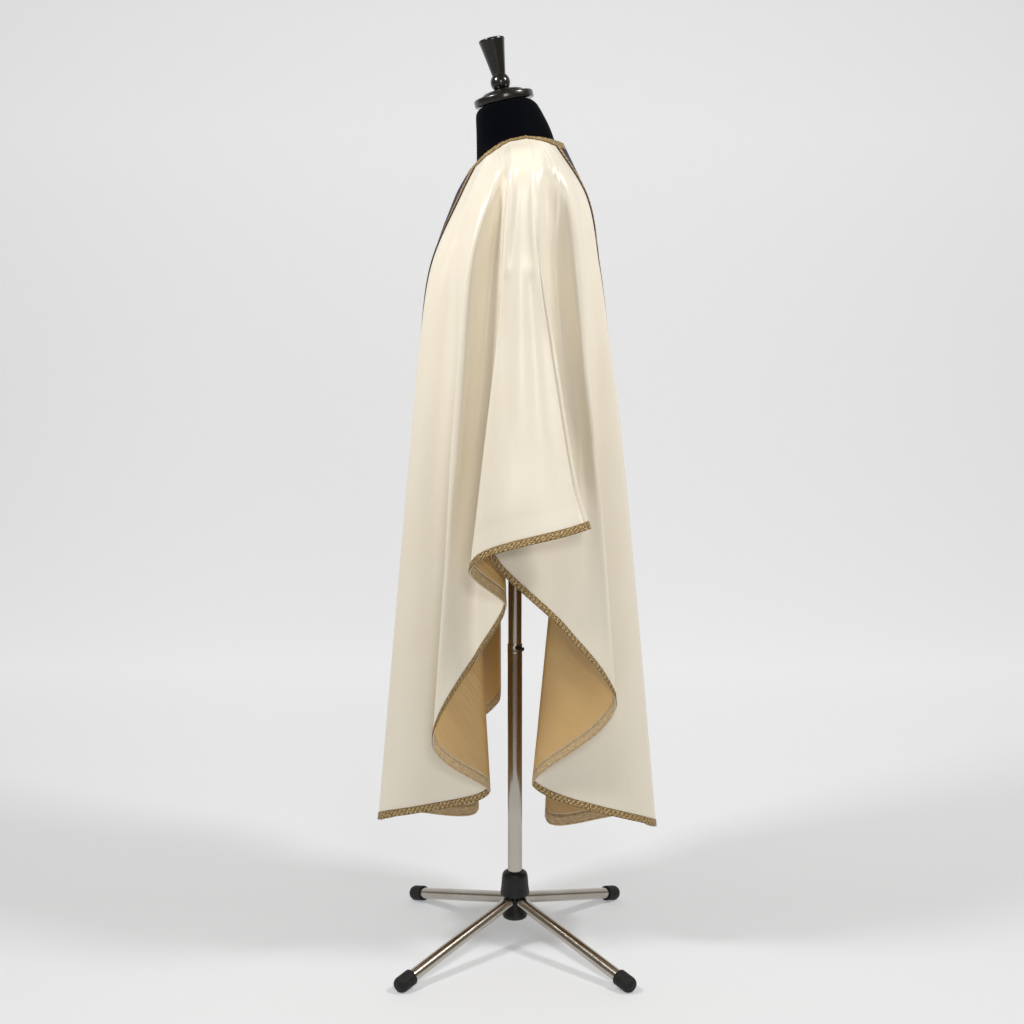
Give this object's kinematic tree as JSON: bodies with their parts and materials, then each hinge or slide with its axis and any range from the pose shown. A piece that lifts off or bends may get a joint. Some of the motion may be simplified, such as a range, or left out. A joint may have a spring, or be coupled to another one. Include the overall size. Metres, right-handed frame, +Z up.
{
  "type": "gothic chasuble on a limbless dress form with stand",
  "caption": "Ivory satin gothic chasuble with gold lining, dark orphreys and gold braid, worn by a navy-black limbless dress form on a steel pole with splayed legs.",
  "frame": {"origin": "on the floor, under the middle of the whole part", "axes": "+Z up, -Y is the front of the garment, +X is the wearer's left"},
  "size_m": [0.5215, 0.5264, 1.7122],
  "materials": {
    "ivory_satin": "ivory duchess satin, soft sheen",
    "gold_lining": "gold lining satin, bright sheen",
    "gold_braid": "woven metallic galloon",
    "orphrey_cloth": "dark violet-navy ribbed silk",
    "form_cloth": "navy-black jersey cover, matt",
    "black_lacquer": "black lacquer, semi-gloss",
    "steel": "polished steel tube",
    "black_plastic": "moulded black plastic",
    "black_rubber": "moulded rubber cap"
  },
  "bodies": {
    "stand": {"lower_tube": "steel", "tube_collar": "steel", "snap_button": "black_plastic", "lock_screw": "black_plastic", "hub": "black_plastic", "leg_front_left": "steel", "leg_back_left": "steel", "leg_back_right": "steel", "leg_front_right": "steel", "foot_front_left": "black_rubber", "foot_back_left": "black_rubber", "foot_back_right": "black_rubber", "foot_front_right": "black_rubber"},
    "form": {"torso": "form_cloth", "neck_cap": "black_lacquer", "finial": "black_lacquer", "base_flange": "black_lacquer", "upper_tube": "steel", "front_panel": "ivory_satin", "back_panel": "ivory_satin", "front_lining": "gold_lining", "back_lining": "gold_lining", "front_orphrey": "orphrey_cloth", "front_braid_right": "gold_braid", "front_braid_left": "gold_braid", "back_orphrey": "orphrey_cloth", "back_braid_left": "gold_braid", "back_braid_right": "gold_braid", "front_hem_braid": "gold_braid", "back_hem_braid": "gold_braid", "neck_braid": "gold_braid"}
  },
  "joints": [
    {"name": "pole_height", "type": "slide", "parent": "stand", "child": "form", "axis": [0, 0, 1], "range_m": [-0.12, 0.2]}
  ]
}
